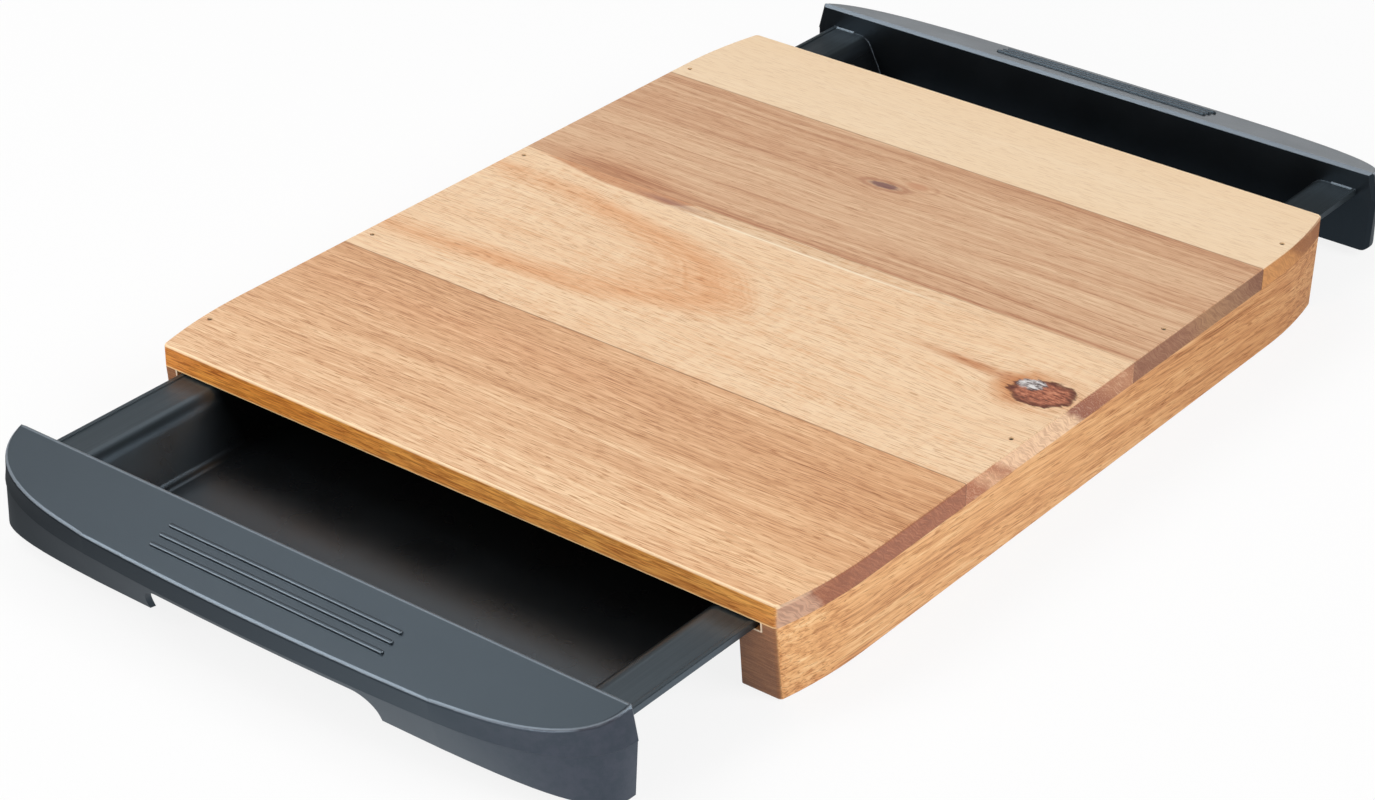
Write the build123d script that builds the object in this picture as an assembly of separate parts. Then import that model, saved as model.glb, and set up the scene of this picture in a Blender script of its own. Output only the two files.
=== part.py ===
from build123d import *

import os
from math import atan, degrees

# Cutting board with two drawer trays, in millimetres.
# X runs along the planks, Y from the front tray to the back tray, Z up.
# The origin is the centre of the cutting surface.

# ---- board: four edge-glued planks -------------------------------------------------
BOARD_WIDTH = 260.0          # across the middle, along the grain
BOARD_DEPTH = 326.0          # front face to back face
BOARD_HEIGHT = 35.0          # cutting surface down to the worktop
TOP_THICKNESS = 8.0
END_INSET = 4.7              # how far each long side curves in towards an end
END_CURVE = 40.0             # length of that curve
CORNER_ROUND = 2.0
ARRIS_ROUND = 0.8            # eased top edge
FRONT_PLANK_WIDTH = 92.0
MID_FRONT_PLANK_WIDTH = 99.0
MID_BACK_PLANK_WIDTH = 85.0  # the back plank takes what is left

# ---- rails: one under each long side, rabbeted for the tray rims ---------------------
RAIL_WIDTH = 18.5
RABBET_DEPTH = 8.1           # into the rail, from its inner face
RABBET_HEIGHT = 3.0          # down from the underside of the planks
END_UNDERCUT = 3.1           # how far a rail's end leans back at the foot
FOOT_ROUND = 1.5             # along the edges that stand on the worktop

# ---- brads that pin the planks to the rails ---------------------------------------------
NAIL_DIAMETER = 1.4
NAIL_HEAD_DIAMETER = 1.8
NAIL_HEAD_HEIGHT = 0.8
NAIL_LENGTH = 22.0
NAIL_SINK = 0.6              # head below the cutting surface
NAIL_CLEARANCE = 0.05
NAIL_EDGE_DISTANCE = 4.5     # from the straight part of the long side
LEFT_NAILS_Y = (-141.0, -61.0, 21.0, 120.0)
RIGHT_NAILS_Y = (-39.0, 54.0, 134.0)

# ---- trays: basin, rim and handle in one moulding ---------------------------------------
FRONT_OPEN = 63.2            # how far the front tray stands open
BACK_OPEN = 41.5
RIM_SIDE_PLAY = 2.1          # each side, to the wall of the rabbet
RIM_LIFT = 0.2               # running clearance over the rabbet's floor
RIM_THICKNESS = 2.0
RIM_WIDTH = 16.5             # to the basin's wall, along the sides
RIM_END_WIDTH = 14.5         # to the basin's wall, along the inner end
RIM_LENGTH = 161.0           # from the handle's wall to the inner end
RIM_CORNER = 9.0
RIM_ROOT_FILLET = 0.6        # inside corner where the rim meets the handle's wall
BEAD_WIDTH = 1.5
BEAD_HEIGHT = 0.4
BASIN_FLOOR = 27.0           # depth of the basin's floor below the cutting surface
BASIN_SIDE_SLOPE = 9.5       # how far a side wall leans in over its height
BASIN_END_SLOPE = 5.5
BASIN_CORNER = 16.0          # plan radius at the inner end
BASIN_SHOULDER = 6.5         # rounding from rim to wall
BASIN_FLOOR_ROUND = 3.5
WALL = 2.0

# ---- handle: a hollow D-shaped grip, open underneath ------------------------------------
HANDLE_SETBACK = 6.8         # its top end stands this far inside the board's side
HANDLE_TOP_FRONT = 28.6      # how far the top stands out at the centre
HANDLE_TOP_SLOPE = 0.30      # fall of the top per unit of reach
HANDLE_BULGE = 2.6           # how far the ends stand out at the parting line
HANDLE_PART_FRONT = 28.0     # reach of the moulding's parting line
HANDLE_PART_LEVEL = 11.2
HANDLE_PART_SLOPE = 0.17
HANDLE_TUCK = 0.7            # how far the ends come back in at the foot
HANDLE_FOOT_FRONT = 22.0     # reach of the foot, which rises towards the front
HANDLE_FOOT_LEVEL = 31.8
HANDLE_FOOT_RISE = 0.17
HANDLE_FOOT_CORNER = 4.5     # rounding of the two lower corners
HANDLE_SHOULDER = 70.0       # half length of the gentle front curve
HANDLE_WALL = 2.5
HANDLE_EDGE_BEVEL = 1.4      # along the top and end edges, on the board's side
HANDLE_EDGE_ROUND = 1.2      # along the outer top edge
PART_STEP = 0.25             # the lower skirt stands back by this much

GRIP_RIB_LENGTH = 94.0
GRIP_RIB_WIDTH = 1.5
GRIP_RIB_HEIGHT = 0.9
GRIP_RIB_PITCH = 4.15
GRIP_RIB_START = 11.5        # reach of the first rib
GRIP_RIB_COUNT = 3

NOTCH_HALF_LENGTH = 47.3
NOTCH_TOP = 18.0             # below the cutting surface
NOTCH_ROUND = 8.0
NOTCH_FOOT_ROUND = 2.0

STIFFENER_PLACES = (62.0, 97.0)
STIFFENER_THICKNESS = 1.8
STIFFENER_LIFT = 3.0         # above the foot of the skirt

# ---- values that follow from the sizes above ---------------------------------------------
HALF_WIDTH = BOARD_WIDTH / 2
HALF_DEPTH = BOARD_DEPTH / 2
UNDERSIDE = -TOP_THICKNESS
FOOT = -BOARD_HEIGHT
RAIL_HEIGHT = BOARD_HEIGHT - TOP_THICKNESS
RABBET_FLOOR = UNDERSIDE - RABBET_HEIGHT
RAIL_FACE = HALF_WIDTH - RAIL_WIDTH
RABBET_WALL = RAIL_FACE + RABBET_DEPTH
RIM_BOTTOM = RABBET_FLOOR + RIM_LIFT
RIM_TOP = RIM_BOTTOM + RIM_THICKNESS
RIM_HALF_WIDTH = RABBET_WALL - RIM_SIDE_PLAY
BASIN_HALF_WIDTH = RIM_HALF_WIDTH - RIM_WIDTH
NAIL_X = HALF_WIDTH - NAIL_EDGE_DISTANCE
HANDLE_TOP_END = HALF_WIDTH - HANDLE_SETBACK
HANDLE_PART_END = HANDLE_TOP_END + HANDLE_BULGE
HANDLE_FOOT_END = HANDLE_PART_END - HANDLE_TUCK
FAR = BOARD_WIDTH + BOARD_DEPTH


def span_box(x0, x1, y0, y1, z0, z1):
    """A box between two corners."""
    centre = Pos((x0 + x1) / 2, (y0 + y1) / 2, (z0 + z1) / 2)
    return centre * Box(abs(x1 - x0), abs(y1 - y0), abs(z1 - z0))


def mirror_x(points):
    """The same points on the other side, in the reverse order."""
    return [(-x, d) for x, d in reversed(points)]


# ---- board -------------------------------------------------------------------------------
def board_plan():
    """Plan of the board: straight sides that curve in towards both ends."""
    end_x = HALF_WIDTH - END_INSET
    curve_y = HALF_DEPTH - END_CURVE
    edges = []
    for side in (1, -1):
        edges.append(Line((side * HALF_WIDTH, -side * curve_y), (side * HALF_WIDTH, side * curve_y)))
        for end in (1, -1):
            start = (side * HALF_WIDTH, end * curve_y)
            finish = (side * end_x, end * HALF_DEPTH)
            edges.append(TangentArc(start, finish, tangent=(0, end)))
    for end in (1, -1):
        edges.append(Line((-end_x, end * HALF_DEPTH), (end_x, end * HALF_DEPTH)))
    return make_face(edges)


def slab():
    """The glued-up top before it is seen as planks, with its edges eased."""
    body = extrude(board_plan(), amount=-TOP_THICKNESS)
    corners = [e for e in body.edges().filter_by(Axis.Z) if abs(e.center().Y) > HALF_DEPTH - 1]
    body = fillet(corners, CORNER_ROUND)
    rim = body.faces().sort_by(Axis.Z)[-1].edges()
    return fillet(rim, ARRIS_ROUND)


def plank_edges():
    """Y of every glue line, with both faces of the board."""
    lines = [-HALF_DEPTH]
    for width in (FRONT_PLANK_WIDTH, MID_FRONT_PLANK_WIDTH, MID_BACK_PLANK_WIDTH):
        lines.append(lines[-1] + width)
    return lines + [HALF_DEPTH]


def rail(side):
    """One rail: the board's plan outside, a rabbet inside, ends that lean back."""
    body = Pos(0, 0, UNDERSIDE) * extrude(board_plan(), amount=-RAIL_HEIGHT)
    body &= span_box(side * RAIL_FACE, side * FAR, -FAR, FAR, FOOT, UNDERSIDE)
    body -= span_box(0, side * RABBET_WALL, -FAR, FAR, RABBET_FLOOR, UNDERSIDE)
    for end in (1, -1):
        top = (0, end * HALF_DEPTH, UNDERSIDE)
        heel = (0, end * (HALF_DEPTH - END_UNDERCUT), FOOT)
        outer = (0, end * FAR, FOOT)
        over = (0, end * FAR, UNDERSIDE)
        wedge = make_face(Polyline(top, heel, outer, over, close=True))
        body -= extrude(wedge, amount=FAR, dir=(side, 0, 0))
    corners = []
    for edge in body.edges():
        tall = edge.bounding_box().size.Z > RAIL_HEIGHT / 2
        if tall and abs(edge.center().X) > RABBET_WALL:
            corners.append(edge)
    body = fillet(corners, CORNER_ROUND)
    foot = body.faces().sort_by(Axis.Z)[0].edges()
    outer = [e for e in foot if abs(e.center().X) > RAIL_FACE + 1]
    return fillet(outer, FOOT_ROUND)


# ---- nails -------------------------------------------------------------------------------
def brad(extra=0.0, reach_up=0.0):
    """A headed brad with its head's top at z = 0, made larger by extra all round."""
    shank = NAIL_DIAMETER / 2 + extra
    head = NAIL_HEAD_DIAMETER / 2 + extra
    tip = NAIL_LENGTH + extra
    point = NAIL_DIAMETER * 1.5
    outline = Polyline(
        (0, reach_up),
        (head, reach_up),
        (head, -NAIL_HEAD_HEIGHT),
        (shank, -NAIL_HEAD_HEIGHT - (head - shank)),
        (shank, -tip + point),
        (0, -tip),
        close=True,
    )
    return revolve(Plane.XZ * make_face(outline), axis=Axis.Z)


def nail_places():
    """Where the brads go, as (x, y)."""
    left = [(-NAIL_X, y) for y in LEFT_NAILS_Y]
    right = [(NAIL_X, y) for y in RIGHT_NAILS_Y]
    return left, right


def drill(body, places):
    """Cut the brads' holes, open at the cutting surface."""
    for x, y in places:
        body -= Pos(x, y, -NAIL_SINK) * brad(NAIL_CLEARANCE, NAIL_SINK + 1)
    return body


# ---- handle ------------------------------------------------------------------------------
def grip_section(end_x, front, shoulder, near, far, level, slope, start):
    """D-shaped face on a sloping plane. near and far steer each corner's curve."""

    def place(point):
        x, reach = point
        return (x, -reach, -level - slope * reach)

    wall_end = (end_x - HANDLE_EDGE_BEVEL, start)
    corner = [(end_x, start + HANDLE_EDGE_BEVEL), near, far, shoulder]
    crown = ThreePointArc(place(shoulder), place((0, front)), place((-shoulder[0], shoulder[1])))
    edges = [
        Line(place((-wall_end[0], start)), place(wall_end)),
        Line(place(wall_end), place(corner[0])),
        Bezier(*[place(point) for point in corner]),
        crown,
        Bezier(*[place(point) for point in mirror_x(corner)]),
        Line(place((-end_x, start + HANDLE_EDGE_BEVEL)), place((-wall_end[0], start))),
    ]
    return make_face(edges)


def top_section(inset=0.0, start=0.0):
    """The grip's outline along its top."""
    end_x = HANDLE_TOP_END - inset
    front = HANDLE_TOP_FRONT - inset
    shoulder = (HANDLE_SHOULDER, front - 1.4)
    near = (end_x - 1.9, 0.96 * shoulder[1])
    far = (HANDLE_SHOULDER + 0.12 * (end_x - HANDLE_SHOULDER), shoulder[1] - 1.5)
    return grip_section(end_x, front, shoulder, near, far, inset, HANDLE_TOP_SLOPE, start)


def part_section(inset=0.0, start=0.0):
    """The grip's outline along the parting line."""
    end_x = HANDLE_PART_END - inset
    front = HANDLE_PART_FRONT - inset
    shoulder = (HANDLE_SHOULDER, front - 1.8)
    near = (end_x - 2.2, 0.57 * shoulder[1])
    far = (HANDLE_SHOULDER + 0.67 * (end_x - HANDLE_SHOULDER), shoulder[1] - 2.0)
    level = HANDLE_PART_LEVEL
    return grip_section(end_x, front, shoulder, near, far, level, HANDLE_PART_SLOPE, start)


def foot_section(inset=0.0, start=0.0, drop=0.0):
    """The grip's outline along its foot."""
    end_x = HANDLE_FOOT_END - inset
    front = HANDLE_FOOT_FRONT - inset
    shoulder = (HANDLE_SHOULDER, front - 0.5)
    near = (end_x - 1.0, 0.75 * shoulder[1])
    far = (HANDLE_SHOULDER + 0.77 * (end_x - HANDLE_SHOULDER), shoulder[1] - 1.3)
    level = HANDLE_FOOT_LEVEL + drop
    return grip_section(end_x, front, shoulder, near, far, level, -HANDLE_FOOT_RISE, start)


def grip():
    """Hollow grip, open underneath, with its wall towards the basin on y = 0."""
    upper = loft([top_section(), part_section()], ruled=True)
    top_edges = upper.faces().sort_by(Axis.Z)[-1].edges()
    upper = fillet([e for e in top_edges if e.center().Y < -1], HANDLE_EDGE_ROUND)
    upper -= edge_bevel()
    body = upper + loft([part_section(PART_STEP), foot_section(PART_STEP)], ruled=True)
    inset = HANDLE_WALL + PART_STEP
    hollow = loft(
        [top_section(HANDLE_WALL, HANDLE_WALL), part_section(inset, HANDLE_WALL)],
        ruled=True,
    )
    hollow += loft(
        [part_section(inset, HANDLE_WALL), foot_section(inset, HANDLE_WALL, 0.5)],
        ruled=True,
    )
    lowest = -foot_level() + STIFFENER_LIFT
    for place in STIFFENER_PLACES:
        for x in (place, -place):
            half = STIFFENER_THICKNESS / 2
            hollow -= span_box(x - half, x + half, -FAR, FAR, lowest, 0)
    return (body & end_profile()) - hollow - finger_notch()


def end_profile():
    """The grip seen end-on to the board: a block with rounded lower corners."""
    height = 2 * HANDLE_FOOT_LEVEL
    outline = Rectangle(2 * HANDLE_PART_END + 0.5, height)
    lower = outline.vertices().group_by(Axis.Y)[0]
    outline = fillet(lower, HANDLE_FOOT_CORNER)
    block = extrude(Plane.XZ * outline, amount=2 * HANDLE_TOP_FRONT, both=True)
    return block


def edge_bevel():
    """Wedge that takes off the top edge on the board's side."""
    size = HANDLE_EDGE_BEVEL
    outline = Polyline(
        (-FAR, 1, -size),
        (-FAR, 0, -size),
        (-FAR, -size, -size * HANDLE_TOP_SLOPE),
        (-FAR, -size, 1),
        (-FAR, 1, 1),
        close=True,
    )
    return extrude(make_face(outline), amount=2 * FAR, dir=(1, 0, 0))


def foot_level():
    """Depth of the foot's edge at the middle of the grip."""
    return HANDLE_FOOT_LEVEL - HANDLE_FOOT_RISE * HANDLE_FOOT_FRONT


def finger_notch():
    """Arched cut through the skirt, flared a little at its foot."""
    depth = foot_level() - NOTCH_TOP
    arch = Rectangle(2 * NOTCH_HALF_LENGTH, 4 * depth)
    arch = fillet(arch.vertices(), NOTCH_ROUND)
    below = Pos(0, -2 * depth) * Rectangle(2 * NOTCH_HALF_LENGTH + 2 * NOTCH_FOOT_ROUND, 2 * depth)
    outline = Pos(0, -NOTCH_TOP - 2 * depth) * (arch + below)
    cut = extrude(Plane.XZ * outline, amount=2 * HANDLE_TOP_FRONT)
    return Pos(0, -HANDLE_WALL - 1, 0) * cut


def grip_ribs():
    """Round-ended ribs that stand on the sloping top."""
    tilt = degrees(atan(HANDLE_TOP_SLOPE))
    ribs = []
    for i in range(GRIP_RIB_COUNT):
        reach = GRIP_RIB_START + i * GRIP_RIB_PITCH
        plan = SlotOverall(GRIP_RIB_LENGTH, GRIP_RIB_WIDTH)
        rib = extrude(plan, amount=GRIP_RIB_HEIGHT + 0.5)
        rib = fillet(rib.faces().sort_by(Axis.Z)[-1].edges(), GRIP_RIB_WIDTH * 0.35)
        place = Pos(0, -reach, -reach * HANDLE_TOP_SLOPE) * Rot(tilt, 0, 0) * Pos(0, 0, -0.5)
        ribs.append(place * rib)
    return ribs


# ---- basin and rim -------------------------------------------------------------------------
def basin_section(half_width, start, finish, corner, z):
    """Plan of the basin at one height, rounded at its inner end."""
    outline = Polyline(
        (-half_width, start, z),
        (half_width, start, z),
        (half_width, finish, z),
        (-half_width, finish, z),
        close=True,
    )
    face = make_face(outline)
    return fillet(face.vertices().group_by(Axis.Y)[-1], corner)


def basin_body(grow, start, floor):
    """Tapered solid of the basin, made larger by grow along its walls."""
    finish = RIM_LENGTH - RIM_END_WIDTH + grow
    top_half = BASIN_HALF_WIDTH + grow
    floor_half = top_half - BASIN_SIDE_SLOPE
    corner = BASIN_CORNER + grow
    upper = basin_section(top_half, start, finish, corner, RIM_TOP)
    lower = basin_section(floor_half, start, finish - BASIN_END_SLOPE, corner, -floor)
    body = loft([upper, lower], ruled=True)
    floor_edges = body.faces().sort_by(Axis.Z)[0].edges()
    round_edges = [e for e in floor_edges if grow == 0 or e.center().Y > 0]
    return fillet(round_edges, BASIN_FLOOR_ROUND + grow)


def rim_plate():
    """The flange that runs in the rabbets, with a bead along its edge."""
    plan = Pos(0, RIM_LENGTH / 2) * Rectangle(2 * RIM_HALF_WIDTH, RIM_LENGTH)
    far = plan.vertices().group_by(Axis.Y)[-1]
    plan = fillet(far, RIM_CORNER)
    plate = Pos(0, 0, RIM_BOTTOM) * extrude(plan, amount=RIM_THICKNESS)
    inner = offset(plan, amount=-BEAD_WIDTH)
    inner += Pos(0, BEAD_WIDTH / 2) * Rectangle(2 * (RIM_HALF_WIDTH - BEAD_WIDTH), BEAD_WIDTH)
    bead = extrude(plan - inner, amount=BEAD_HEIGHT)
    return plate + Pos(0, 0, RIM_TOP) * bead


def basin_mouth(body):
    """Edges where the flat rim turns down into the basin."""
    inner_end = RIM_LENGTH - RIM_END_WIDTH
    mouth = []
    for edge in body.edges():
        box = edge.bounding_box()
        level = abs(box.min.Z - RIM_TOP) < 0.01 and abs(box.max.Z - RIM_TOP) < 0.01
        inside = abs(edge.center().X) < BASIN_HALF_WIDTH + 0.1
        if level and inside and 1 < edge.center().Y < inner_end + 0.1:
            mouth.append(edge)
    return mouth


def rim_underside(body):
    """Inside corner where the basin's outer wall meets the rim from below."""
    wall_line = BASIN_HALF_WIDTH + WALL
    corner = []
    for edge in body.edges():
        box = edge.bounding_box()
        level = abs(box.min.Z - RIM_BOTTOM) < 0.01 and abs(box.max.Z - RIM_BOTTOM) < 0.01
        inside = abs(edge.center().X) < wall_line + 0.1 and edge.center().Y < RIM_LENGTH - 1
        if level and inside and edge.center().Y > 1:
            corner.append(edge)
    return corner


def rim_root(side):
    """Fills the inside corner where the flat rim meets the handle's wall."""
    start = side * (BASIN_HALF_WIDTH + BASIN_SHOULDER)
    length = RIM_WIDTH - BASIN_SHOULDER - BEAD_WIDTH
    corner = (start, 0, RIM_TOP)
    along = (start, RIM_ROOT_FILLET, RIM_TOP)
    above = (start, 0, RIM_TOP + RIM_ROOT_FILLET)
    triangle = make_face(Polyline(corner, along, above, close=True))
    return extrude(triangle, amount=length, dir=(side, 0, 0))


def tray():
    """One moulding with the handle's wall on y = 0 and the grip towards -Y."""
    body = basin_body(WALL, -HANDLE_WALL / 2, BASIN_FLOOR + WALL)
    body += rim_plate()
    body = fillet(rim_underside(body), BASIN_SHOULDER - WALL)
    body += grip()
    body -= basin_body(0, 0, BASIN_FLOOR)
    body = fillet(basin_mouth(body), BASIN_SHOULDER)
    body += rim_root(1)
    body += rim_root(-1)
    for rib in grip_ribs():
        body += rib
    return body


# ---- build ---------------------------------------------------------------------------------
def main():
    os.makedirs("parts", exist_ok=True)
    left_nails, right_nails = nail_places()
    parts = {}

    top = drill(slab(), left_nails + right_nails)
    names = ("plank_front", "plank_mid_front", "plank_mid_back", "plank_back")
    lines = plank_edges()
    for name, low, high in zip(names, lines, lines[1:]):
        parts[name] = top & span_box(-FAR, FAR, low, high, UNDERSIDE - 1, 1)

    parts["rail_left"] = drill(rail(-1), left_nails)
    parts["rail_right"] = drill(rail(1), right_nails)
    for name, places in (("nails_left", left_nails), ("nails_right", right_nails)):
        parts[name] = Compound([Pos(x, y, -NAIL_SINK) * brad() for x, y in places])

    moulding = tray()
    front_wall = -HALF_DEPTH - FRONT_OPEN
    back_wall = HALF_DEPTH + BACK_OPEN
    parts["front_tray"] = Pos(0, front_wall, 0) * moulding
    parts["back_tray"] = Pos(0, back_wall, 0) * Rot(0, 0, 180) * moulding

    for name, shape in parts.items():
        export_step(shape, f"parts/{name}.step")
        print(name, len(shape.solids()), "solids", round(shape.volume, 1), "mm3")


main()
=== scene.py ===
"""Looks of the cutting board with two drawer trays: woods, moulded plastic, studio."""
import math

import bpy
from mathutils import Matrix, Vector


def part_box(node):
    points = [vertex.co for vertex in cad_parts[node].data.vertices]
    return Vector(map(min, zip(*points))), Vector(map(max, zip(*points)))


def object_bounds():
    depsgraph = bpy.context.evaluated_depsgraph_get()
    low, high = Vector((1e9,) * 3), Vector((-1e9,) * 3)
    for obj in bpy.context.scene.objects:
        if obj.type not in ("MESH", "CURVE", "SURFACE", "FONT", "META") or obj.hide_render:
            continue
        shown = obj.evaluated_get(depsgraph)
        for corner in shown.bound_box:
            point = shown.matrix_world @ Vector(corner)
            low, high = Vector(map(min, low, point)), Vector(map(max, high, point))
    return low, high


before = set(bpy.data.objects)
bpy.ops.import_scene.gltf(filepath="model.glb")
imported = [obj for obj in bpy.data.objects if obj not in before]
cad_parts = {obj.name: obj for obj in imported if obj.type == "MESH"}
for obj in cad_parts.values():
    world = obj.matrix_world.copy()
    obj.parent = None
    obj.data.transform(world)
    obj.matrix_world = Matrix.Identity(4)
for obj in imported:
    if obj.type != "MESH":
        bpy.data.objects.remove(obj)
cad_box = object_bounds()

MM = 0.001

# ---- camera, found from the photograph, in the board's own frame ---------------------------
IMAGE_WIDTH = 1375
FOCAL_PIXELS = 3427.25
SENSOR_MM = 36.0
CAMERA_AZIMUTH = 37.382
CAMERA_ELEVATION = 29.761
CAMERA_ROLL = 0.808
CAMERA_PLACE_MM = (609.7, -840.8, 544.7)

# ---- places on the model, in mm from the centre of the cutting surface ---------------------
GLUE_LINES_Y = tuple(
    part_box(name)[0][1] / MM for name in ("plank_mid_front", "plank_mid_back", "plank_back"))
HALF_WIDTH = 130.0
PLANK_UNDERSIDE_Z = -8.0
RABBET_WALL_X = 119.9
RABBET_FLOOR_Z = -11.3
RIM_Z = -11.0
HANDLE_DEPTH = 28.6             # from a handle's inner wall to its front
HANDLE_BEVEL = 1.4              # along its inner top edge
RIBS_REACH = 15.65              # middle of the three ribs, out from that wall
RIBS_HALF_LENGTH = 48.0
FRONT_HANDLE_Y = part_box("front_tray")[0][1] / MM + HANDLE_DEPTH
BACK_HANDLE_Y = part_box("back_tray")[1][1] / MM - HANDLE_DEPTH


def srgb(red, green, blue):
    """Linear colour of a value read in 0-255 display steps."""
    def linear(value):
        value /= 255
        return value / 12.92 if value <= 0.04045 else ((value + 0.055) / 1.055) ** 2.4
    return (linear(red), linear(green), linear(blue), 1.0)


# ---- shader writing ------------------------------------------------------------------------
class Shader:
    """The nodes of a material or of the world, written as short expressions."""

    def __init__(self, owner):
        owner.use_nodes = True
        self.owner = owner
        self.nodes = owner.node_tree.nodes
        self.links = owner.node_tree.links
        self.surface = self.nodes.get("Principled BSDF")

    def put(self, socket, value):
        """Feeds a socket with another socket or a plain value."""
        if isinstance(value, bpy.types.NodeSocket):
            self.links.new(value, socket)
        else:
            socket.default_value = value

    def node(self, kind, **settings):
        made = self.nodes.new(kind)
        for key, value in settings.items():
            setattr(made, key, value)
        return made

    def math(self, operation, *values, clamp=False):
        made = self.node("ShaderNodeMath", operation=operation, use_clamp=clamp)
        for socket, value in zip(made.inputs, values):
            self.put(socket, value)
        return made.outputs[0]

    def add(self, *values):
        total = values[0]
        for value in values[1:]:
            total = self.math("ADD", total, value)
        return total

    def times(self, a, b):
        return self.math("MULTIPLY", a, b)

    def minus(self, a, b):
        return self.math("SUBTRACT", a, b)

    def step(self, value, low, high, first=0.0, last=1.0):
        """Smooth step from first to last as value goes from low to high."""
        made = self.node("ShaderNodeMapRange", interpolation_type="SMOOTHSTEP", clamp=True)
        for socket, number in zip(made.inputs, (value, low, high, first, last)):
            self.put(socket, number)
        return made.outputs[0]

    def near(self, value, middle, full, none, most=1.0):
        """most where value is within full of the middle, 0 where it is further off than none."""
        off = self.math("ABSOLUTE", self.minus(value, middle))
        return self.step(off, full, none, most, 0.0)

    def bell(self, value, middle, width):
        """1 where value is at the middle, falling softly over the width."""
        off = self.math("DIVIDE", self.minus(value, middle), width)
        return self.math("EXPONENT", self.times(self.times(off, off), -1.0))

    def vector(self, x, y, z):
        made = self.node("ShaderNodeCombineXYZ")
        for socket, value in zip(made.inputs, (x, y, z)):
            self.put(socket, value)
        return made.outputs[0]

    def split(self, vector):
        made = self.node("ShaderNodeSeparateXYZ")
        self.put(made.inputs[0], vector)
        return made.outputs

    def noise(self, point, sizes, detail=3.0, roughness=0.55, seed=0.0):
        """Noise whose blobs are about sizes mm long along each of the point's axes."""
        parts = [self.math("DIVIDE", axis, size) for axis, size in zip(point, sizes)]
        parts[2] = self.add(parts[2], seed)
        made = self.node("ShaderNodeTexNoise")
        self.put(made.inputs["Vector"], self.vector(*parts))
        made.inputs["Scale"].default_value = 1.0
        made.inputs["Detail"].default_value = detail
        made.inputs["Roughness"].default_value = roughness
        return made.outputs[0]

    def ramp(self, value, stops):
        """Colour ramp through (position, colour) stops."""
        made = self.node("ShaderNodeValToRGB")
        band = made.color_ramp
        while len(band.elements) < len(stops):
            band.elements.new(0.5)
        for element, (position, colour) in zip(band.elements, stops):
            element.position = position
            element.color = colour
        self.put(made.inputs[0], value)
        return made.outputs[0]

    def mix(self, factor, a, b, blend="MIX"):
        made = self.node("ShaderNodeMix", data_type="RGBA", blend_type=blend)
        self.put(made.inputs[0], factor)
        self.put(made.inputs[6], a)
        self.put(made.inputs[7], b)
        return made.outputs[2]

    def point(self):
        """Place in the part's own frame, in mm, as three sockets."""
        place = self.node("ShaderNodeTexCoord").outputs["Object"]
        scaled = self.node("ShaderNodeVectorMath", operation="SCALE")
        self.put(scaled.inputs[0], place)
        scaled.inputs["Scale"].default_value = 1 / MM
        return self.split(scaled.outputs[0])

    def facing(self):
        """The surface's direction in the part's own frame, as three sockets."""
        return self.split(self.node("ShaderNodeTexCoord").outputs["Normal"])

    def bump(self, height, depth_mm, strength, edge_mm=0.0):
        """Relief from a height, over edges that are eased to a radius where edge_mm is given."""
        made = self.node("ShaderNodeBump")
        made.inputs["Strength"].default_value = strength
        made.inputs["Distance"].default_value = depth_mm * MM
        self.put(made.inputs["Height"], height)
        if edge_mm:
            eased = self.node("ShaderNodeBevel", samples=6)
            eased.inputs["Radius"].default_value = edge_mm * MM
            self.put(made.inputs["Normal"], eased.outputs[0])
        self.put(self.surface.inputs["Normal"], made.outputs[0])

    def finish(self, colour, roughness, specular=0.5):
        self.put(self.surface.inputs["Base Color"], colour)
        self.put(self.surface.inputs["Roughness"], roughness)
        self.surface.inputs["Specular IOR Level"].default_value = specular
        return self.owner


def new_material(name):
    return Shader(bpy.data.materials.new(name))


def dress(name, material):
    """Gives a node of the model its material."""
    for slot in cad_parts[name].material_slots:
        slot.material = material


# ---- wood ----------------------------------------------------------------------------------
def oval(s, along, across, centre, sizes, tilt=0.0):
    """Distance from the centre of a turned ellipse on the board: 1 on its outline."""
    dx, dy = s.minus(along, centre[0]), s.minus(across, centre[1])
    cosine, sine = math.cos(math.radians(tilt)), math.sin(math.radians(tilt))
    u = s.math("DIVIDE", s.add(s.times(dx, cosine), s.times(dy, sine)), sizes[0])
    v = s.math("DIVIDE", s.minus(s.times(dy, cosine), s.times(dx, sine)), sizes[1])
    return s.math("SQRT", s.add(s.times(u, u), s.times(v, v)))


def blob(s, along, across, centre, sizes):
    """1 in the middle of an ellipse on the board, falling softly to 0 outside it."""
    reach = oval(s, along, across, centre, sizes)
    return s.math("EXPONENT", s.times(s.times(reach, reach), -1.0))


def bend_round(s, along, across, knots):
    """Makes the grain part round each knot: (place, (reach along, reach across), amount)."""
    for centre, sizes, amount in knots:
        pull = s.times(blob(s, along, across, centre, sizes), amount)
        across = s.minus(across, s.times(s.minus(across, centre[1]), pull))
    return across


def ragged(s, grain, seed, shift):
    """The same place with fibres slid along each other, so that marks don't line up."""
    along, across, depth = grain
    slide = s.noise(grain, (120, 1.1, 1.1), detail=1.0, seed=seed)
    return s.add(along, s.times(slide, shift)), across, depth


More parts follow.
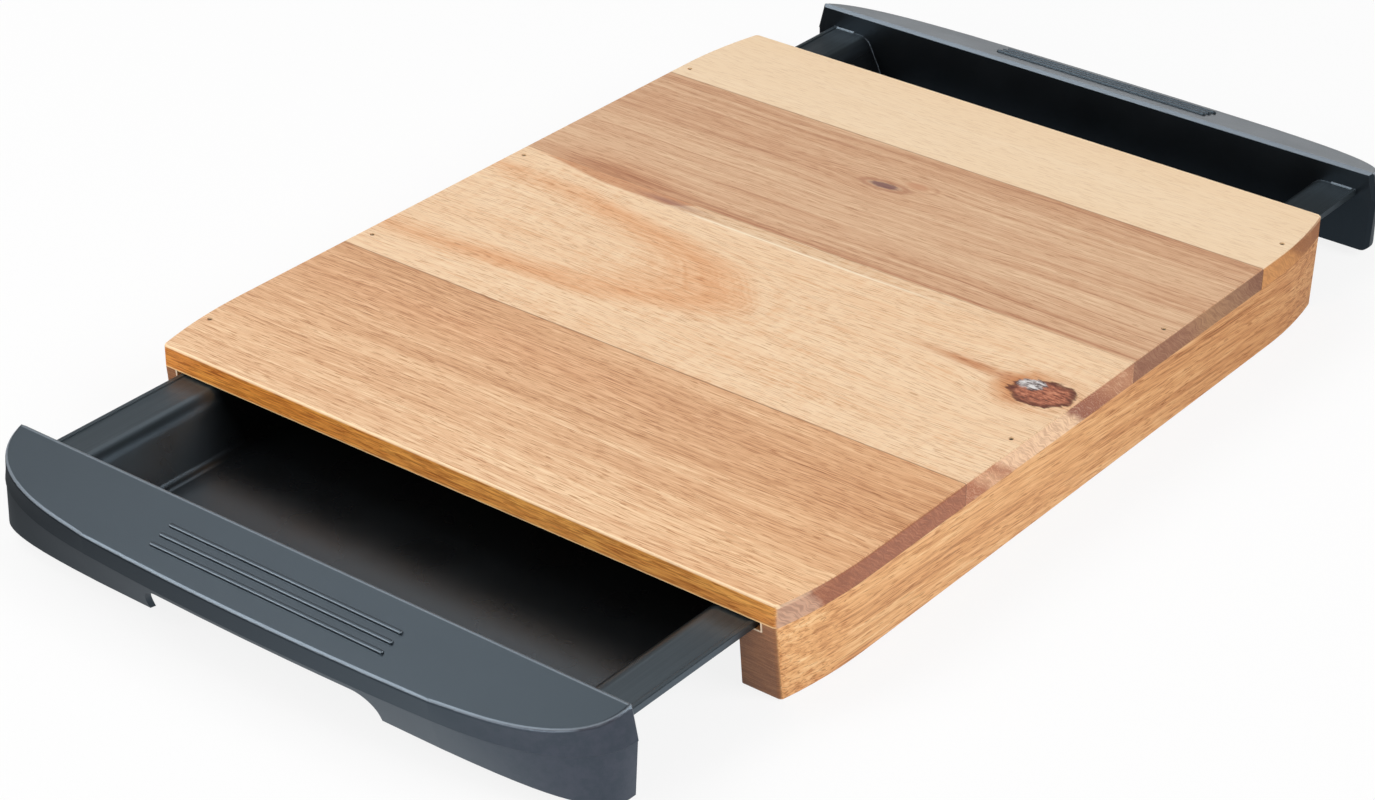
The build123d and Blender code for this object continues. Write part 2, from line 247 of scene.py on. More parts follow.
def wood_tone(s, grain, seed, look):
    """Light and dark of long grain, about 0.5 on average. grain is (along, across, depth).

    Wide bands, narrower streaks and short fibres are always there. Lines are thin dark
    growth rings, and silk is a painted sheen, the shimmer across the grain.
    """
    width = look.get("band_width", 9.0)
    torn = ragged(s, grain, seed + 17, 60.0)
    wide = s.noise(grain, (230, width, width), detail=2.5, seed=seed)
    middle = s.noise(grain, (110, 2.0, 2.0), detail=4.0, roughness=0.62, seed=seed + 7)
    fine = s.noise(torn, (11, 0.75, 0.75), detail=2.0, roughness=0.6, seed=seed + 13)
    parts = [0.5]
    for layer, weight in ((wide, "bands"), (middle, "streaks"), (fine, "fibres")):
        parts.append(s.times(s.minus(layer, 0.5), look[weight]))
    if look.get("lines"):
        rings = s.noise(grain, (240, 1.3, 1.3), detail=2.0, roughness=0.7, seed=seed + 51)
        parts.append(s.times(s.step(rings, 0.30, 0.44, 1.0, 0.0), -look["lines"]))
    # painted sheen: silk, the shimmer across the grain, painted as light and dark
    if look.get("silk"):
        cross = s.noise(grain, (3.0, 11, 11), detail=2.0, seed=seed + 31)
        where = s.step(s.noise(grain, (70, 26, 26), detail=1.0, seed=seed + 37), 0.38, 0.62)
        parts.append(s.times(s.times(s.minus(cross, 0.5), where), look["silk"]))
    return s.add(*parts)


PORE_SIZE = (5.0, 0.5, 0.5)
PORE_TINT = (0.52, 0.33, 0.20, 1.0)


def pore_marks(s, grain, seed, amount):
    """Short dark pore lines, amount on a mark and 0 between marks."""
    torn = ragged(s, grain, seed + 19, 50.0)
    sown = s.noise(torn, PORE_SIZE, detail=0.5, seed=seed + 21)
    patchy = s.noise(grain, (40, 9, 9), detail=1.0, seed=seed + 29)
    limit = s.add(0.435, s.times(s.minus(patchy, 0.5), 0.14))
    return s.times(s.step(sown, s.minus(limit, 0.09), limit, 1.0, 0.0), amount)


# the planks' long faces: painted shade, yellower at the left, streaked; painted highlight above,
# pale edge below
FACE_SHADE_LEFT = (1.0, 0.60, 0.16, 1.0)
FACE_SHADE_RIGHT = (1.0, 0.76, 0.32, 1.0)
FACE_STREAK = srgb(140, 78, 34)
ARRIS_HIGHLIGHT = srgb(255, 226, 184)
LOWER_EDGE = srgb(250, 214, 160)
GLUE = srgb(110, 66, 38)
GLUE_STRENGTHS = (0.5, 0.2, 0.45)


def long_face(s, colour, x, grain, sideways, seed):
    """A plank's long face, with painted shade: darker and more deeply coloured than its top."""
    marks = s.noise(grain, (10, 0.6, 0.6), detail=4.0, roughness=0.65, seed=seed + 61)
    streak = s.minus(1.0, s.step(marks, 0.38, 0.56, 0.5, 1.0))
    colour = s.mix(s.times(sideways, streak), colour, FACE_STREAK)
    # painted shade: the long faces are tinted darker and deeper in colour than the top, yellower at
    # the left
    tint = s.mix(s.step(x, -HALF_WIDTH, HALF_WIDTH), FACE_SHADE_LEFT, FACE_SHADE_RIGHT)
    return s.mix(sideways, colour, tint, "MULTIPLY")


def plank_lines(s, colour, y, z, facing, sideways):
    """Glue lines, a painted highlight along the top edge of a long face and a pale line along its
    foot.
    """
    for line, strength in zip(GLUE_LINES_Y, GLUE_STRENGTHS):
        colour = s.mix(s.near(y, line, 0.1, 0.42, strength), colour, GLUE)
    # painted highlight: the rounded top edge of a long face and its top millimetre are painted pale
    tilt = s.math("ABSOLUTE", facing[1])
    arris_highlight = s.times(s.step(tilt, 0.08, 0.35), s.step(tilt, 0.72, 0.95, 1.0, 0.0))
    arris_highlight = s.times(arris_highlight, s.step(z, -1.5, -1.0))
    arris_highlight = s.math("MAXIMUM", arris_highlight, s.times(sideways, s.step(z, -1.0, -0.5)))
    colour = s.mix(s.times(arris_highlight, 0.75), colour, ARRIS_HIGHLIGHT)
    foot = s.step(z, PLANK_UNDERSIDE_Z + 0.1, PLANK_UNDERSIDE_Z + 0.65, 0.8, 0.0)
    return s.mix(s.times(sideways, foot), colour, LOWER_EDGE)


def rabbet_lines(s, colour, x, z, end):
    """Raw pale wood round the rabbet's outline on a rail's ends."""
    from_middle = s.math("ABSOLUTE", x)
    upright = s.near(from_middle, RABBET_WALL_X, 0.15, 0.5)
    upright = s.times(upright, s.step(z, RABBET_FLOOR_Z - 0.3, RABBET_FLOOR_Z + 0.2))
    level = s.near(z, RABBET_FLOOR_Z, 0.1, 0.45)
    level = s.times(level, s.step(from_middle, RABBET_WALL_X - 0.1, RABBET_WALL_X + 0.3, 1.0, 0.0))
    raw = s.times(end, s.math("MAXIMUM", upright, level))
    return s.mix(s.times(raw, 0.85), colour, srgb(248, 226, 196))


def wood(name, axis, seed, palette, pores, features, end_colour, **look):
    """Long grain along one axis, end grain across it, sanded and lightly oiled."""
    s = new_material(name)
    x, y, z = s.point()
    along, across = (x, y) if axis == 0 else (y, x)
    sway = s.noise((along, across, z), (150, 55, 30), detail=2.0, seed=seed + 3)
    swayed = s.add(across, s.times(s.minus(sway, 0.5), 9.0))
    grain, tone_shift, overlays = features(s, along, swayed, across, z)
    tone = s.add(wood_tone(s, grain, seed, look), tone_shift)
    colour = s.ramp(tone, palette)
    marks = pore_marks(s, grain, seed, pores)
    colour = s.mix(marks, colour, PORE_TINT, "MULTIPLY")
    for factor, tint, blend in overlays:
        colour = s.mix(factor, colour, tint, blend)

    facing = s.facing()
    end = s.step(s.math("ABSOLUTE", facing[axis]), 0.55, 0.9)
    end_face = end_colour(s, across, z, seed)
    if axis == 0:
        sideways = s.step(s.math("ABSOLUTE", facing[1]), 0.55, 0.95)
        colour = long_face(s, colour, x, grain, sideways, seed)
        colour = s.mix(end, colour, end_face)
        colour = plank_lines(s, colour, y, z, facing, sideways)
    else:
        colour = s.mix(end, colour, end_face)
        colour = rabbet_lines(s, colour, x, z, end)

    s.bump(s.minus(tone, s.times(marks, 0.8)), 0.12, 0.3)
    return s.finish(colour, s.add(0.46, s.times(marks, 0.2)), 0.4)


def end_grain(stops, dark, light, slope=0.8, level=False):
    """End-grain colour from (place across, colour) stops, with pores and rays.

    The rays lean, or lie nearly level as on the rails.
    """
    low, high = stops[0][0], stops[-1][0]
    bands = [((at - low) / (high - low), tint) for at, tint in stops]

    def colour(s, across, depth, seed):
        flat = (across, depth, depth)
        ripple = s.times(s.minus(s.noise(flat, (9, 5, 5), seed=seed + 41), 0.5), 6.0)
        slanted = s.add(across, ripple, s.times(depth, slope))
        base = s.ramp(s.math("DIVIDE", s.minus(slanted, low), high - low), bands)
        if level:
            height = s.add(depth, s.times(across, 0.06))
            rays = s.noise((across, height, depth), (9, 0.6, 0.6), seed=seed + 43)
        else:
            wave = s.noise(flat, (7, 7, 7), detail=1.0, seed=seed + 45)
            lean = s.add(across, s.times(depth, 1.1), s.times(wave, 5.0))
            rays = s.noise((lean, depth, depth), (0.8, 6, 6), detail=2.0, seed=seed + 43)
        dots = s.noise(flat, (0.5, 0.5, 0.5), detail=2.0, seed=seed + 47)
        base = s.mix(s.step(rays, 0.36, 0.6, 0.4, 0.0), base, dark)
        base = s.mix(s.step(rays, 0.52, 0.66, 0.0, 0.22), base, light)
        return s.mix(s.step(dots, 0.54, 0.68, 0.0, 0.35), base, light)
    return colour


# ---- the four planks -------------------------------------------------------------------------
# Each plank's features give the grain's place, a shift of its tone and a list of overlays
# (factor, colour, blend) for the marks that the photograph shows on that plank.
def front_plank_features(s, along, swayed, across, z):
    """Darker towards the first glue line, paler along the front edge."""
    shade = s.step(across, -162.0, -84.0, 0.16, -0.06)
    red = s.times(blob(s, along, across, (-40.0, -92.0), (90.0, 9.0)), 0.35)
    warm = s.times(s.step(along, 20.0, 130.0), 0.5)
    low = s.times(s.step(z, -5.5, -2.5, 1.0, 0.0), s.step(along, -130.0, 110.0, 0.15, 0.8))
    overlays = [
        (red, (0.97, 0.84, 0.78, 1.0), "MULTIPLY"),
        (warm, (0.93, 0.80, 0.66, 1.0), "MULTIPLY"),
        (low, (0.90, 0.85, 0.86, 1.0), "MULTIPLY"),
    ]
    return (along, swayed, z), shade, overlays


CATHEDRAL = (-125.0, -20.5)
CATHEDRAL_SIZE = (121.0, 31.0)

KNOT = (117.5, -8.5)
KNOT_SIZE = (11.6, 8.6)
KNOT_TILT = 12.0
KNOT_BEND = (32.0, 17.0)        # how far off the grain still parts round it
ASH = (111.6, -5.4)
ASH_SIZE = (6.2, 4.6)
TAIL = (90.0, -6.2)
TAIL_SIZE = (19.0, 2.6)
KNOT_HEART = [(0.38, srgb(112, 64, 50)), (0.5, srgb(170, 102, 76)), (0.64, srgb(206, 140, 108))]
KNOT_ASH = [(0.38, srgb(64, 50, 50)), (0.46, srgb(150, 140, 138)), (0.58, srgb(226, 222, 220))]


def cathedral(s, along, across, z):
    """Tone of the nested arches of growth rings, and the darker outline round them."""
    wobble = s.noise((along, across, z), (60, 22, 22), detail=3.0, seed=5.1)
    reach = oval(s, along, across, CATHEDRAL, CATHEDRAL_SIZE)
    reach = s.add(reach, s.times(s.minus(wobble, 0.5), 0.22))
    rings = s.noise((reach, 0.0, 0.0), (0.028, 1, 1), detail=3.0, roughness=0.7, seed=6.3)
    shown = s.times(s.step(reach, 0.45, 0.95), s.step(reach, 1.05, 1.5, 0.55, 0.0))
    rings = s.times(s.minus(rings, 0.5), shown)
    outline = s.times(s.step(reach, 0.62, 0.98), s.step(reach, 1.0, 1.22, 1.0, 0.0))
    return rings, s.times(outline, s.step(along, -128.0, -70.0, 0.6, 1.0))


def large_knot(s, along, across, z):
    """Overlays of the knot: dark tail and halo, reddish heart, dark rim and ash-grey spot."""
    grit = s.noise((along, across, z), (3.2, 1.1, 1.1), detail=5.0, roughness=0.7, seed=8.8)
    torn = s.noise((along, across, z), (7, 3, 3), detail=3.0, roughness=0.6, seed=2.2)
    grit_off, torn_off = s.minus(grit, 0.5), s.minus(torn, 0.5)
    ring = oval(s, along, across, KNOT, KNOT_SIZE, KNOT_TILT)
    frayed = s.add(ring, s.times(grit_off, 0.25), s.times(torn_off, 0.7))
    heart = s.step(frayed, 0.86, 0.98, 1.0, 0.0)
    rim = s.times(s.step(frayed, 0.70, 0.86), s.step(frayed, 0.95, 1.06, 1.0, 0.0))
    left = s.step(along, 108.0, 122.0, 1.0, 0.35)
    halo = s.times(s.step(frayed, 0.95, 1.9, 1.0, 0.0), left)
    rising = s.add(across, s.times(s.minus(along, TAIL[0]), 0.03))
    tail = blob(s, along, rising, TAIL, TAIL_SIZE)
    ash = s.add(oval(s, along, across, ASH, ASH_SIZE, 40.0), s.times(torn_off, 1.2))
    ash = s.step(s.add(ash, s.times(grit_off, 0.9)), 0.62, 0.9, 1.0, 0.0)
    return [
        (s.times(tail, 0.9), (0.66, 0.40, 0.27, 1.0), "MULTIPLY"),
        (s.times(halo, 0.9), (0.72, 0.44, 0.27, 1.0), "MULTIPLY"),
        (heart, s.ramp(grit, KNOT_HEART), "MIX"),
        (s.times(rim, s.step(grit, 0.34, 0.62, 1.0, 0.7)), srgb(96, 50, 38), "MIX"),
        (ash, s.ramp(grit, KNOT_ASH), "MIX"),
    ]


def joint_marks(s, along, across):
    """Overlays beside the second glue line: pale strip, stain, purple spot, and a painted
    highlight, a bright line as on a lit joint edge.
    """
    stain_edge = s.add(
        21.7, s.times(s.math("MAXIMUM", s.minus(-90.0, along), 0.0), 0.17),
        s.step(along, -62.0, -46.0, 0.0, 8.0))
    stained = s.step(s.minus(across, stain_edge), -0.7, 1.0)
    stained = s.times(stained, s.step(along, -124.0, -112.0, 0.4, 1.0))
    strip = s.times(s.step(across, 21.1, 21.9), s.step(along, -58.0, -44.0))
    strip = s.times(strip, s.step(along, 0.0, 80.0, 0.8, 0.25))
    # painted highlight: a bright line along the joint's edge
    joint_highlight = s.bell(across, s.add(21.5, s.step(along, 20.0, 70.0, 0.0, 1.2)), 0.5)
    shown = s.times(s.step(along, -54.0, -42.0), s.step(along, 30.0, 80.0, 1.0, 0.0))
    purple = blob(s, along, across, (-60.0, 24.4), (13.0, 2.0))
    return [
        (s.times(strip, 0.9), (0.86, 0.85, 0.84, 1.0), "MULTIPLY"),
        (stained, (0.74, 0.55, 0.46, 1.0), "MULTIPLY"),
        (s.times(purple, 0.7), srgb(150, 104, 94), "MIX"),
        (s.times(s.times(joint_highlight, shown), 0.8), srgb(255, 238, 212), "MIX"),
    ]


def mid_front_plank_features(s, along, swayed, across, z):
    """Nested arches of growth rings, and one large knot at the right edge."""
    bent = bend_round(s, along, swayed, [(KNOT, KNOT_BEND, 0.8)])
    rings, outline = cathedral(s, along, across, z)
    shift = s.add(0.04, rings, s.times(outline, -0.10), s.step(along, 30.0, 120.0, 0.0, 0.04))
    overlays = [(outline, (0.95, 0.82, 0.73, 1.0), "MULTIPLY")]
    overlays += large_knot(s, along, across, z) + joint_marks(s, along, across)
    return (along, bent, z), shift, overlays


SMALL_KNOT = (-8.8, 83.8)
SMALL_KNOT_SIZE = (8.6, 3.0)
EYE = (1.0, 90.4)
EYE_SIZE = (5.0, 2.4)
DARK_LINE_Y = 29.3


def mid_back_plank_features(s, along, swayed, across, z):
    """Brown stripes, a small dark knot with an eye by it, and a dark line by the joint."""
    bent = bend_round(s, along, swayed, [(SMALL_KNOT, (26.0, 9.0), 0.6), (EYE, (12.0, 5.0), 0.4)])
    line_y = s.add(DARK_LINE_Y, s.step(along, 40.0, 100.0, 0.0, 0.8))
    dark_line = s.times(s.bell(across, line_y, 0.8), s.step(along, -60.0, -40.0))
    patch = blob(s, along, across, (-90.0, 31.0), (24.0, 10.0))
    rising = s.add(across, s.times(along, -0.02))
    pale_stripe = blob(s, 0.0, rising, (0.0, 58.0), (1.0, 7.0))
    shift = s.add(-0.04, s.times(patch, -0.18), s.times(s.step(across, 96.0, 112.0), -0.08))
    shift = s.add(shift, s.times(pale_stripe, 0.08))

    frayed = s.noise((along, across, z), (2.4, 0.8, 0.8), detail=3.0, seed=9.9)
    ring = oval(s, along, across, SMALL_KNOT, SMALL_KNOT_SIZE, 4.0)
    ring = s.add(ring, s.times(s.minus(frayed, 0.5), 0.5))
    core = s.step(ring, 0.45, 0.9, 1.0, 0.0)
    rim = s.times(s.step(ring, 0.7, 1.0), s.step(ring, 1.1, 1.5, 1.0, 0.0))
    eye = oval(s, along, across, EYE, EYE_SIZE)
    arc = s.times(s.near(eye, 1.7, 0.0, 0.3), s.step(along, -4.0, 3.0))
    overlays = [
        (s.times(patch, 0.5), (0.92, 0.78, 0.68, 1.0), "MULTIPLY"),
        (s.times(dark_line, 0.75), (0.68, 0.46, 0.38, 1.0), "MULTIPLY"),
        (s.times(rim, 0.6), srgb(170, 112, 82), "MIX"),
        (s.times(core, 0.85), srgb(116, 78, 80), "MIX"),
        (s.times(s.step(eye, 0.6, 1.3, 1.0, 0.0), 0.55), srgb(192, 128, 92), "MIX"),
        (s.times(arc, 0.3), srgb(180, 122, 92), "MIX"),
    ]
    return (along, bent, z), shift, overlays


def back_plank_features(s, along, swayed, across, z):
    """Pale and even, a little warmer towards its back edge."""
    warm = s.times(s.step(across, 135.0, 163.0), 0.25)
    return (along, swayed, z), 0.1, [(warm, srgb(240, 206, 164), "MIX")]


# end grain of each plank, from its front edge to its back edge
DEEP = srgb(116, 66, 46)

FRONT_END = end_grain([
    (-163, srgb(214, 170, 142)), (-152, srgb(210, 164, 136)),
    (-149, srgb(164, 98, 66)), (-71, srgb(172, 104, 70))], DEEP, srgb(204, 148, 110))
MID_FRONT_END = end_grain([
    (-71, srgb(184, 112, 74)), (-64, srgb(232, 180, 138)), (-57, srgb(196, 128, 88)),
    (-52, srgb(250, 208, 168)), (-16, srgb(250, 212, 172)), (-12, srgb(150, 86, 64)),
    (-1, srgb(160, 94, 66)), (8, srgb(190, 130, 94)), (20, srgb(200, 142, 104)),
    (28, srgb(168, 112, 82))], srgb(172, 110, 76), srgb(250, 220, 188), slope=1.4)
MID_BACK_END = end_grain([
    (28, srgb(158, 108, 82)), (58, srgb(164, 116, 88)), (72, srgb(180, 136, 98)),
    (92, srgb(166, 124, 92)), (104, srgb(148, 104, 78)), (113, srgb(136, 90, 68))],
    DEEP, srgb(190, 150, 116))
BACK_END = end_grain([
    (113, srgb(214, 150, 88)), (128, srgb(206, 142, 80)), (134, srgb(158, 98, 54)),
    (163, srgb(150, 90, 50))], srgb(166, 106, 56), srgb(222, 166, 104), slope=1.6)

PLANKS = {
    "plank_front": dict(
        seed=11.0, bands=0.60, streaks=0.85, fibres=1.1, lines=0.18, silk=0.12, pores=0.62,
        palette=[(0.05, srgb(178, 124, 82)), (0.36, srgb(214, 164, 122)),
                 (0.58, srgb(230, 185, 143)), (0.95, srgb(252, 220, 180))],
        features=front_plank_features, end_colour=FRONT_END),
    "plank_mid_front": dict(
        seed=23.0, bands=0.30, streaks=0.42, fibres=0.8, lines=0.03, silk=0.36, pores=0.5,
        palette=[(0.05, srgb(200, 144, 98)), (0.34, srgb(230, 182, 138)),
                 (0.56, srgb(242, 208, 170)), (0.92, srgb(252, 226, 192))],
        features=mid_front_plank_features, end_colour=MID_FRONT_END),
    "plank_mid_back": dict(
        seed=37.0, bands=0.62, streaks=0.85, fibres=0.65, lines=0.22, silk=0.06, pores=0.42,
        band_width=7.0,
        palette=[(0.05, srgb(178, 124, 90)), (0.36, srgb(208, 162, 126)),
                 (0.58, srgb(224, 186, 150)), (0.95, srgb(244, 214, 176))],
        features=mid_back_plank_features, end_colour=MID_BACK_END),
    "plank_back": dict(
        seed=53.0, bands=0.24, streaks=0.36, fibres=0.45, pores=0.26,
        palette=[(0.05, srgb(222, 180, 134)), (0.36, srgb(236, 204, 166)),
                 (0.60, srgb(244, 216, 181)), (0.92, srgb(250, 228, 198))],
        features=back_plank_features, end_colour=BACK_END),
}

# ---- the rails -------------------------------------------------------------------------------
RAIL_END = end_grain([
    (-130, srgb(160, 106, 68)), (0, srgb(158, 104, 66)), (130, srgb(156, 102, 66))],
    srgb(88, 52, 32), srgb(190, 138, 94), level=True)


def rail_features(s, along, swayed, across, z):
    """Grain that slants slowly down the rail, browner towards the back."""
    slanted = s.add(z, s.times(along, 0.05), s.times(s.minus(swayed, across), 0.35))
    brown = s.times(s.step(along, -40.0, 150.0), 0.9)
    return (along, across, slanted), 0.0, [(brown, (0.82, 0.76, 0.74, 1.0), "MULTIPLY")]


def paint_wood():
    for name, look in PLANKS.items():
        dress(name, wood(name + "_wood", 0, **look))
    for name, seed in (("rail_left", 71.0), ("rail_right", 83.0)):
        material = wood(
            name + "_wood", 1, seed,
            bands=0.45, streaks=1.0, fibres=1.0, lines=0.22, pores=0.6,
            palette=[(0.05, srgb(172, 110, 58)), (0.38, srgb(220, 158, 100)),
                     (0.58, srgb(238, 182, 122)), (0.94, srgb(252, 214, 160))],
            features=rail_features, end_colour=RAIL_END)
        dress(name, material)


# ---- plastic and nails -----------------------------------------------------------------------
PLASTIC = [(0.3, (0.0026, 0.0027, 0.0030, 1)), (0.7, (0.0048, 0.0052, 0.0058, 1))]
SCUFF = (0.03, 0.033, 0.036, 1)
# painted reflection on the rims, painted highlights on the handle's edges, and dust with painted
# light on its skirt:
RIM_SHEEN = (0.027, 0.034, 0.038, 1)
HANDLE_EDGE_HIGHLIGHT = (0.16, 0.18, 0.205, 1)
INNER_EDGE_HIGHLIGHT = (0.12, 0.135, 0.15, 1)
DUST_AND_LIGHT = (0.030, 0.024, 0.032, 1)


def tray_plastic():
    """Black moulded plastic with a fine spark-eroded skin and scuffs; its rims and edges carry
    painted reflection and highlights.
    """
    s = new_material("tray_plastic")
    point = s.point()
    x, y, z = point
    from_middle = s.math("ABSOLUTE", x)
    at_front = s.step(y, -1.0, 1.0, 1.0, 0.0)
    up = s.facing()[2]
    # how far out a place is from its handle's inner wall
    reach = s.math("MAXIMUM", s.minus(FRONT_HANDLE_Y, y), s.minus(y, BACK_HANDLE_Y))
    behind_handle = s.step(reach, -0.6, 0.2, 1.0, 0.0)
    on_handle = s.minus(1.0, behind_handle)

    skin = s.noise(point, (0.35, 0.35, 0.35), detail=2.0, roughness=0.6)
    cloud = s.noise(point, (26, 26, 26), detail=3.0, seed=4.0)
    scuff = s.noise(point, (1.6, 1.6, 1.6), detail=4.0, roughness=0.7, seed=9.0)
    colour = s.ramp(s.add(s.times(cloud, 0.7), s.times(skin, 0.3)), PLASTIC)
    colour = s.mix(s.step(scuff, 0.66, 0.78, 0.0, 0.2), colour, SCUFF)

    # painted reflection: the side rims behind the handles are painted paler, in streaks
    rim_sheen = s.times(s.step(z, RIM_Z - 0.4, RIM_Z + 0.1), s.step(from_middle, 100.0, 104.0))
    rim_sheen = s.times(rim_sheen, behind_handle)
    sheen_streaks = s.noise(point, (0.8, 60, 4), detail=3.0, seed=15.0)
    colour = s.mix(s.times(rim_sheen, s.step(sheen_streaks, 0.3, 0.7, 0.5, 1.0)), colour, RIM_SHEEN)

    # painted highlight on the handle's rounded edges, and on the front ribs' edges less so
    edge_highlight = s.times(s.step(up, 0.3, 0.5), s.step(up, 0.84, 0.93, 1.0, 0.0))
    edge_highlight = s.times(edge_highlight, on_handle)
    off_ribs = s.step(s.math("ABSOLUTE", s.minus(reach, RIBS_REACH)), 5.4, 6.2)
    beside_ribs = s.step(from_middle, RIBS_HALF_LENGTH, RIBS_HALF_LENGTH + 1.0)
    off_ribs = s.math("MAXIMUM", off_ribs, beside_ribs)
    edge_highlight = s.times(edge_highlight, s.math("MAXIMUM", off_ribs, s.times(at_front, 0.8)))
    colour = s.mix(edge_highlight, colour, HANDLE_EDGE_HIGHLIGHT)

    # painted highlight: a thin pale line along the top's inner edge
    inner_highlight = s.near(reach, HANDLE_BEVEL + 0.35, 0.15, 0.5)
    on_top = s.times(s.step(up, 0.9, 0.94), s.step(z, -6.0, -5.0))
    colour = s.mix(s.times(inner_highlight, on_top), colour, INNER_EDGE_HIGHLIGHT)

    # dust on the right of the front handle's skirt, mottled, with painted light that makes it paler
    # there
    dust_and_light = s.times(s.step(x, 60.0, 120.0), s.times(on_handle, at_front))
    mottled = s.noise(point, (4, 4, 4), detail=5.0, roughness=0.7, seed=21.0)
    upright = s.step(up, 0.6, 0.8, 1.0, 0.0)
    dust_and_light = s.times(dust_and_light, s.times(upright, s.step(mottled, 0.35, 0.65, 0.5, 1.0)))
    colour = s.mix(dust_and_light, colour, DUST_AND_LIGHT)

    inside = s.times(s.step(z, -14.0, -12.0, 1.0, 0.0), s.step(from_middle, 100.0, 104.0, 1.0, 0.0))
    inside = s.times(inside, behind_handle)
    rough = s.add(0.33, s.times(s.minus(cloud, 0.5), 0.12), s.times(inside, -0.05))
    s.bump(skin, 0.05, 0.5, edge_mm=0.45)
    s.surface.inputs["Specular Tint"].default_value = (0.64, 0.83, 1.0, 1.0)
    return s.finish(colour, rough, 0.9)


def nail_steel():
    """Dark, tarnished head."""
    s = new_material("nail_steel")
    spots = s.noise(s.point(), (0.5, 0.5, 0.5), detail=3.0)
    colour = s.ramp(spots, [(0.35, srgb(22, 14, 10)), (0.65, srgb(52, 36, 28))])
    s.surface.inputs["Metallic"].default_value = 0.4
    return s.finish(colour, s.add(0.5, s.times(spots, 0.2)))


# ---- studio ----------------------------------------------------------------------------------
def camera():
    """The photograph's camera."""
    azimuth = math.radians(CAMERA_AZIMUTH)
    elevation = math.radians(CAMERA_ELEVATION)
    roll = math.radians(CAMERA_ROLL)
    ahead = Vector((-math.sin(azimuth) * math.cos(elevation),
                    math.cos(azimuth) * math.cos(elevation),
                    -math.sin(elevation)))
    level = Vector((math.cos(azimuth), math.sin(azimuth), 0.0))
    upright = level.cross(ahead)
    right = math.cos(roll) * level + math.sin(roll) * upright
    above = -math.sin(roll) * level + math.cos(roll) * upright
    data = bpy.data.cameras.new("camera")
    data.sensor_fit = "HORIZONTAL"
    data.sensor_width = SENSOR_MM
    data.lens = FOCAL_PIXELS * SENSOR_MM / IMAGE_WIDTH
    data.clip_end = 20.0
    seen = bpy.data.objects.new("camera", data)
    seen.matrix_world = Matrix((right, above, -ahead)).transposed().to_4x4()
    seen.matrix_world.translation = Vector(CAMERA_PLACE_MM) * MM
    bpy.context.collection.objects.link(seen)
    bpy.context.scene.camera = seen


FLOOR_REACH = 3.0
FLOOR_WHITE = 0.86              # how much of the floor the eye sees as plain white


def floor():
    """White sweep under the board that keeps its soft shadow."""
    low = cad_box[0][2]
    sides = ((-1, -1), (1, -1), (1, 1), (-1, 1))
    corners = [(x * FLOOR_REACH, y * FLOOR_REACH, low) for x, y in sides]
    mesh = bpy.data.meshes.new("floor")
    mesh.from_pydata(corners, [], [(0, 1, 2, 3)])
    sheet = bpy.data.objects.new("floor", mesh)
    bpy.context.collection.objects.link(sheet)
    s = new_material("floor_white")
    grain = s.noise(s.point(), (400, 400, 400), detail=1.0)
    colour = s.ramp(grain, [(0.0, (0.86, 0.86, 0.86, 1)), (1.0, (0.88, 0.88, 0.88, 1))])
    s.finish(colour, 0.9, 0.1)
    ray = s.node("ShaderNodeLightPath").outputs
    white = s.node("ShaderNodeEmission")
    white.inputs["Color"].default_value = (1, 1, 1, 1)
    white.inputs["Strength"].default_value = 1.0
    seen = s.node("ShaderNodeMixShader")
    s.put(seen.inputs[0], s.times(ray["Is Camera Ray"], FLOOR_WHITE))
    s.put(seen.inputs[1], s.surface.outputs[0])
    s.put(seen.inputs[2], white.outputs[0])
    # painted reflection: what the plastic mirrors is a glowing white card, not the lit table,
    # darker on the left and beside the board
    across, along, _ = s.point()
    reflection_card = s.node("ShaderNodeEmission")
    reflection_card.inputs["Color"].default_value = (0.88, 0.94, 1.0, 1)
    close = s.times(s.step(across, -190, 120, 0.12, 1.0), s.step(along, -60, 120, 1.0, 0.35))
    s.put(reflection_card.inputs["Strength"], s.math("MAXIMUM", close, s.step(along, 280, 600)))
    mirrored = s.node("ShaderNodeMixShader")
    s.put(mirrored.inputs[0], ray["Is Glossy Ray"])
    s.put(mirrored.inputs[1], seen.outputs[0])
    s.put(mirrored.inputs[2], reflection_card.outputs[0])
    s.put(s.nodes["Material Output"].inputs["Surface"], mirrored.outputs[0])
    mesh.materials.append(s.owner)


# the room round the object: dim walls, a white sweep behind it and a dark drape above that
WALL_LEVEL = 0.14
DRAPE_LEVEL = 0.03
SWEEP_LEVEL = 1.9
SWEEP_DIRECTION = (-0.53, 0.85, 0.0)


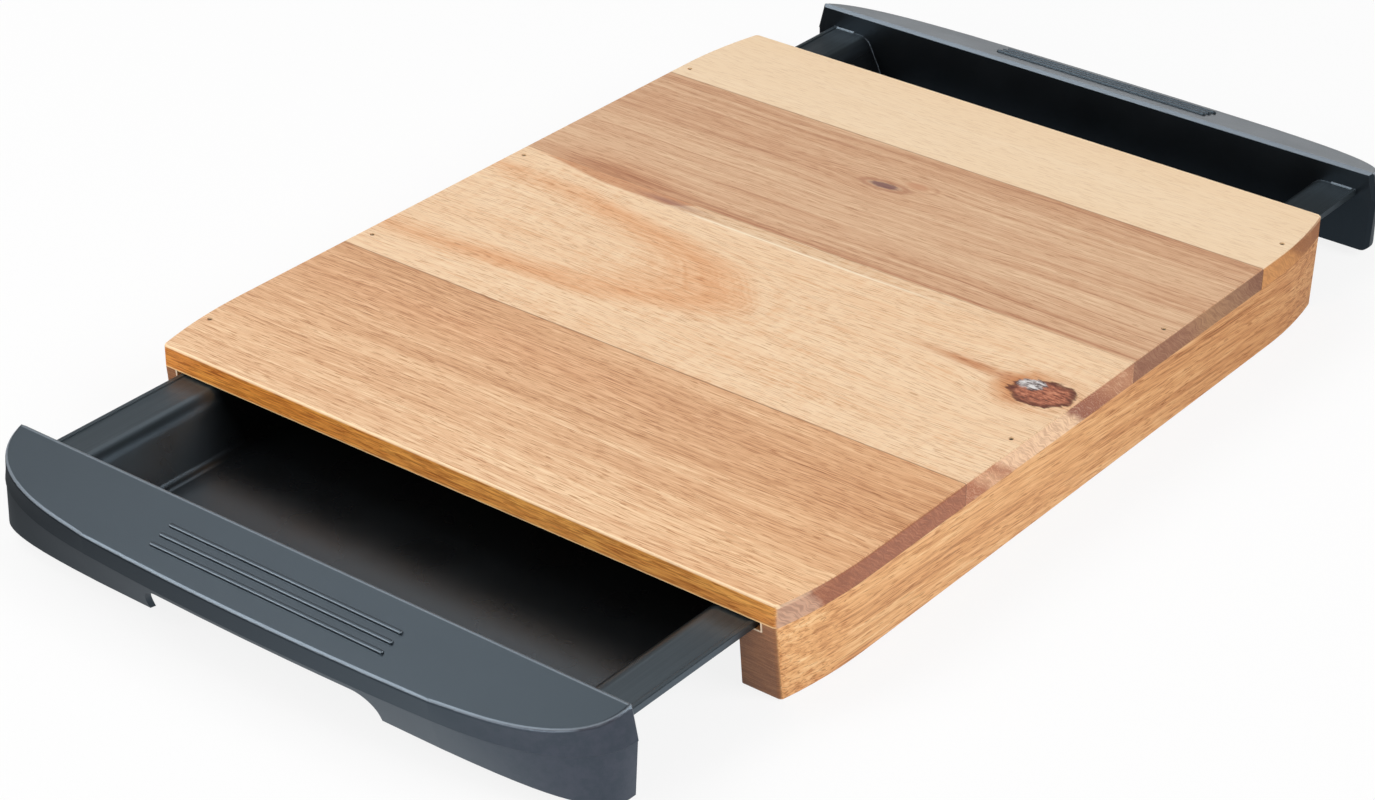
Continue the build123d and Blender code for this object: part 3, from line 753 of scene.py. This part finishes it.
def room():
    """Plain white to the eye, and the room to everything else."""
    world = bpy.data.worlds.new("studio")
    bpy.context.scene.world = world
    s = Shader(world)
    direction = s.node("ShaderNodeTexCoord").outputs["Generated"]
    towards = s.node("ShaderNodeVectorMath", operation="DOT_PRODUCT")
    s.put(towards.inputs[0], direction)
    towards.inputs[1].default_value = SWEEP_DIRECTION
    behind = s.step(towards.outputs["Value"], 0.2, 0.8, 0.0, SWEEP_LEVEL)
    low = s.step(s.split(direction)[2], 0.02, 0.28, 1.0, 0.0)
    wall = s.math("MULTIPLY_ADD", behind, (DRAPE_LEVEL - WALL_LEVEL) / SWEEP_LEVEL, WALL_LEVEL)
    strength = s.node("ShaderNodeMix", data_type="FLOAT")
    s.put(strength.inputs[0], s.node("ShaderNodeLightPath").outputs["Is Camera Ray"])
    s.put(strength.inputs[2], s.math("MULTIPLY_ADD", behind, low, wall))
    s.put(strength.inputs[3], 1.0)
    backdrop = s.nodes["Background"]
    backdrop.inputs["Color"].default_value = (1, 1, 1, 1)
    s.put(backdrop.inputs["Strength"], strength.outputs[0])


# softboxes aimed at the board's middle: name, place and size in metres, watts
SOFTBOXES = (
    ("key", (-1.05, -0.55, 1.62), (1.0, 1.0), 12.0),
    ("front_left", (-1.06, -1.30, 1.10), (0.8, 0.8), 11.0),
    ("back_left", (-1.05, 0.61, 1.59), (1.3, 1.3), 7.0),
    ("right", (1.6, 0.2, 1.2), (1.2, 1.0), 24.0),
    ("front", (0.2, -2.2, 0.55), (1.2, 0.8), 18.0),
)


def softboxes():
    for name, place, size, power in SOFTBOXES:
        data = bpy.data.lights.new(name, "AREA")
        data.shape = "RECTANGLE"
        data.size, data.size_y = size
        data.energy = power
        made = bpy.data.objects.new(name, data)
        made.location = place
        made.rotation_euler = (-Vector(place)).to_track_quat("-Z", "Y").to_euler()
        bpy.context.collection.objects.link(made)


paint_wood()
plastic = tray_plastic()
for tray in ("front_tray", "back_tray"):
    dress(tray, plastic)
steel = nail_steel()
for row in ("nails_left", "nails_right"):
    dress(row, steel)
camera()
floor()
room()
softboxes()
bpy.context.scene.view_settings.view_transform = "Standard"
